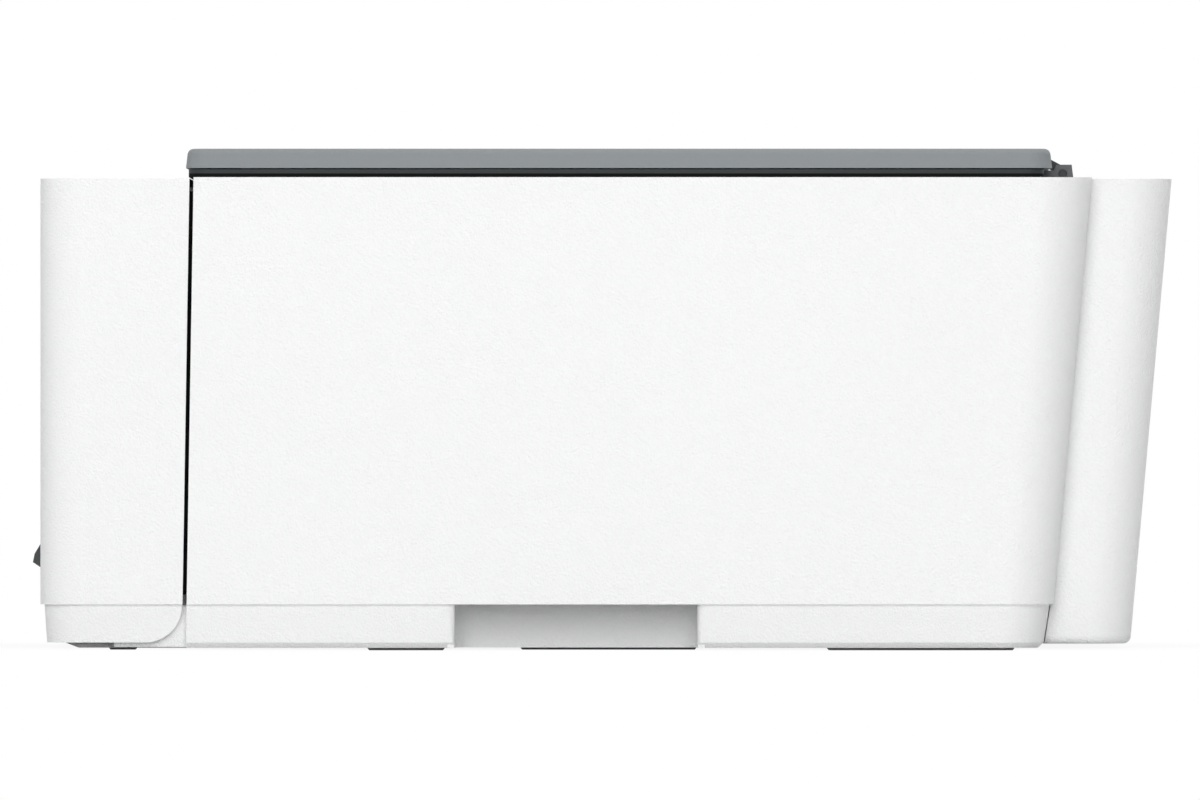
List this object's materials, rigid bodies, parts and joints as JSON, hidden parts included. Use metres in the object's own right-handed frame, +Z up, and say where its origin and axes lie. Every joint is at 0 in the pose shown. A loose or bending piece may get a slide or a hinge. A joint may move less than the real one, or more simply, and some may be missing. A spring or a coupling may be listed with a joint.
{
  "type": "inkjet printer",
  "caption": "Desktop inkjet printer with a flatbed scanner lid, fold-down front, pull-out output tray, rear paper feed and a moving print carriage.",
  "frame": {"origin": "middle of the footprint, on the table the printer stands on", "axes": "+X is the printer's right-hand side, -Y its front with the door and output tray, +Z is up"},
  "size_m": [0.434, 0.3614, 0.158],
  "materials": {
    "white_plastic": "fine moulded grain",
    "grey_lid": "fine moulded grain",
    "dark_plastic": "matte",
    "grey_plastic": "matte",
    "black_gloss": "polished",
    "glass": "clear",
    "steel": "ground",
    "zinc_plate": "bright",
    "rubber": "matte",
    "belt": "matte",
    "motor_steel": "plain",
    "gear_plastic": "smooth",
    "cartridge_plastic": "matte",
    "board": "satin",
    "clear_film": "clear",
    "button_plastic": "smooth",
    "foam_white": "smooth film on foam"
  },
  "bodies": {
    "chassis": {"base_tray": "white_plastic", "right_side_cover": "white_plastic", "left_side_cover": "white_plastic", "rear_housing": "white_plastic", "front_frame": "dark_plastic", "rubber_feet": "rubber", "scanner_frame": "dark_plastic", "scanner_glass": "glass", "lid_hinge_brackets": "grey_plastic", "output_tray": "dark_plastic", "engine_frame": "zinc_plate", "guide_rods": "steel", "drive_belts": "belt", "drive_motors": "motor_steel", "encoder_strip": "clear_film", "platen": "dark_plastic", "service_station": "dark_plastic", "hopper_wall": "dark_plastic", "paper_chute": "dark_plastic", "power_inlet": "dark_plastic", "usb_port": "steel", "main_board": "board", "power_supply": "dark_plastic"},
    "lid": {"scanner_lid": "grey_lid", "lid_pad": "foam_white"},
    "door": {"front_door": "white_plastic", "control_panel": "black_gloss", "display": "black_gloss", "panel_board": "board"},
    "extension": {"tray_extension": "grey_plastic"},
    "stop": {"tray_stop": "grey_plastic"},
    "flap": {"cartridge_flap": "dark_plastic"},
    "scanner_bar": {"scan_bar": "dark_plastic"},
    "scan_wheel_left": {"left_scan_pulley": "gear_plastic"},
    "scan_wheel_right": {"right_scan_pulley": "gear_plastic"},
    "carriage_unit": {"carriage": "dark_plastic", "black_cartridge": "cartridge_plastic", "colour_cartridge": "cartridge_plastic"},
    "carriage_drive": {"drive_wheel": "gear_plastic"},
    "carriage_idler": {"belt_wheel": "gear_plastic"},
    "feed": {"feed_roller": "rubber", "feed_gear": "gear_plastic"},
    "transfer": {"transfer_gear": "gear_plastic"},
    "exit": {"exit_roller": "rubber", "exit_gear": "gear_plastic"},
    "pinion": {"motor_pinion": "gear_plastic"},
    "pinch": {"pinch_rollers": "rubber"},
    "stars": {"star_wheels": "steel"},
    "pickup": {"pickup_roller": "rubber"},
    "support": {"paper_support": "white_plastic"},
    "support_top": {"paper_support_extension": "white_plastic"},
    "guide_right": {"right_paper_guide": "grey_plastic"},
    "guide_left": {"left_paper_guide": "grey_plastic"},
    "guide_gear": {"guide_pinion": "gear_plastic"},
    "power_key": {"power_button": "button_plastic"},
    "wireless_key": {"wireless_button": "button_plastic"},
    "back_key": {"back_button": "button_plastic"},
    "select_key": {"select_button": "button_plastic"},
    "cancel_key": {"cancel_button": "button_plastic"},
    "start_key": {"start_button": "button_plastic"}
  },
  "joints": [
    {"name": "lid_hinge", "type": "hinge", "parent": "chassis", "child": "lid", "pos_m": [0, 0.14665, 0.1504], "axis": [-1, 0, 0], "range_deg": [0, 85]},
    {"name": "door_hinge", "type": "hinge", "parent": "chassis", "child": "door", "pos_m": [0, -0.1705, 0.0068], "axis": [1, 0, 0], "range_deg": [0, 90]},
    {"name": "extension_slide", "type": "slide", "parent": "chassis", "child": "extension", "axis": [0, -1, 0], "range_m": [0, 0.07]},
    {"name": "stop_hinge", "type": "hinge", "parent": "extension", "child": "stop", "pos_m": [0, -0.1675, 0.0196], "axis": [1, 0, 0], "range_deg": [0, 90]},
    {"name": "flap_hinge", "type": "hinge", "parent": "chassis", "child": "flap", "pos_m": [0, -0.116, 0.1045], "axis": [-1, 0, 0], "range_deg": [0, 80]},
    {"name": "scan_slide", "type": "slide", "parent": "chassis", "child": "scanner_bar", "axis": [1, 0, 0], "range_m": [0, 0.29]},
    {"name": "scan_wheel_left_spin", "type": "hinge", "parent": "chassis", "child": "scan_wheel_left", "pos_m": [-0.186, 0.03, 0.127], "axis": [0, 0, 1], "continuous": true},
    {"name": "scan_wheel_right_spin", "type": "hinge", "parent": "chassis", "child": "scan_wheel_right", "pos_m": [0.186, 0.03, 0.127], "axis": [0, 0, 1], "continuous": true},
    {"name": "carriage_slide", "type": "slide", "parent": "chassis", "child": "carriage_unit", "axis": [1, 0, 0], "range_m": [-0.272, 0]},
    {"name": "carriage_drive_spin", "type": "hinge", "parent": "chassis", "child": "carriage_drive", "pos_m": [-0.176, 0.011, 0.089], "axis": [0, 1, 0], "continuous": true},
    {"name": "carriage_idler_spin", "type": "hinge", "parent": "chassis", "child": "carriage_idler", "pos_m": [0.176, 0.011, 0.089], "axis": [0, 1, 0], "continuous": true},
    {"name": "feed_spin", "type": "hinge", "parent": "chassis", "child": "feed", "pos_m": [0, 0.014, 0.042], "axis": [1, 0, 0], "continuous": true},
    {"name": "transfer_spin", "type": "hinge", "parent": "chassis", "child": "transfer", "pos_m": [-0.183, -0.029, 0.042], "axis": [1, 0, 0], "continuous": true},
    {"name": "exit_spin", "type": "hinge", "parent": "chassis", "child": "exit", "pos_m": [0, -0.072, 0.042], "axis": [1, 0, 0], "continuous": true},
    {"name": "pinion_spin", "type": "hinge", "parent": "chassis", "child": "pinion", "pos_m": [-0.183, 0.03433, 0.03358], "axis": [1, 0, 0], "continuous": true},
    {"name": "pinch_spin", "type": "hinge", "parent": "chassis", "child": "pinch", "pos_m": [0, 0.014, 0.05235], "axis": [1, 0, 0], "continuous": true},
    {"name": "star_spin", "type": "hinge", "parent": "chassis", "child": "stars", "pos_m": [0, -0.072, 0.05335], "axis": [1, 0, 0], "continuous": true},
    {"name": "pickup_spin", "type": "hinge", "parent": "chassis", "child": "pickup", "pos_m": [0, 0.132, 0.04], "axis": [1, 0, 0], "continuous": true},
    {"name": "support_slide", "type": "slide", "parent": "chassis", "child": "support", "axis": [0, 0.0889, 0.996], "range_m": [0, 0.095]},
    {"name": "support_top_slide", "type": "slide", "parent": "support", "child": "support_top", "axis": [0, 0.0889, 0.996], "range_m": [0, 0.075]},
    {"name": "guide_right_slide", "type": "slide", "parent": "chassis", "child": "guide_right", "axis": [-1, 0, 0], "range_m": [0, 0.055]},
    {"name": "guide_left_slide", "type": "slide", "parent": "chassis", "child": "guide_left", "axis": [1, 0, 0], "range_m": [0, 0.055]},
    {"name": "guide_gear_spin", "type": "hinge", "parent": "chassis", "child": "guide_gear", "pos_m": [0, 0.142, 0.1], "axis": [0, 1, 0], "continuous": true},
    {"name": "power_press", "type": "slide", "parent": "door", "child": "power_key", "axis": [0, 0, -1], "range_m": [0, 0.0008], "stiffness_N_per_m": 250},
    {"name": "wireless_press", "type": "slide", "parent": "door", "child": "wireless_key", "axis": [0, 0, -1], "range_m": [0, 0.0008], "stiffness_N_per_m": 250},
    {"name": "back_press", "type": "slide", "parent": "door", "child": "back_key", "axis": [0, 0, -1], "range_m": [0, 0.0008], "stiffness_N_per_m": 250},
    {"name": "select_press", "type": "slide", "parent": "door", "child": "select_key", "axis": [0, 0, -1], "range_m": [0, 0.0008], "stiffness_N_per_m": 250},
    {"name": "cancel_press", "type": "slide", "parent": "door", "child": "cancel_key", "axis": [0, 0, -1], "range_m": [0, 0.0008], "stiffness_N_per_m": 250},
    {"name": "start_press", "type": "slide", "parent": "door", "child": "start_key", "axis": [0, 0, -1], "range_m": [0, 0.0008], "stiffness_N_per_m": 250}
  ],
  "couplings": [
    {"joint": "scan_wheel_left_spin", "follows": "scan_slide", "rad_per_m": 200},
    {"joint": "scan_wheel_right_spin", "follows": "scan_slide", "rad_per_m": 200},
    {"joint": "carriage_drive_spin", "follows": "carriage_slide", "rad_per_m": -200},
    {"joint": "carriage_idler_spin", "follows": "carriage_slide", "rad_per_m": -200},
    {"joint": "transfer_spin", "follows": "feed_spin", "ratio": -0.59259},
    {"joint": "exit_spin", "follows": "feed_spin", "ratio": 1},
    {"joint": "pinion_spin", "follows": "feed_spin", "ratio": -2.6667},
    {"joint": "pinch_spin", "follows": "feed_spin", "ratio": -1.5},
    {"joint": "star_spin", "follows": "feed_spin", "ratio": -1.2},
    {"joint": "guide_left_slide", "follows": "guide_right_slide", "ratio": 1},
    {"joint": "guide_gear_spin", "follows": "guide_right_slide", "rad_per_m": -125}
  ]
}
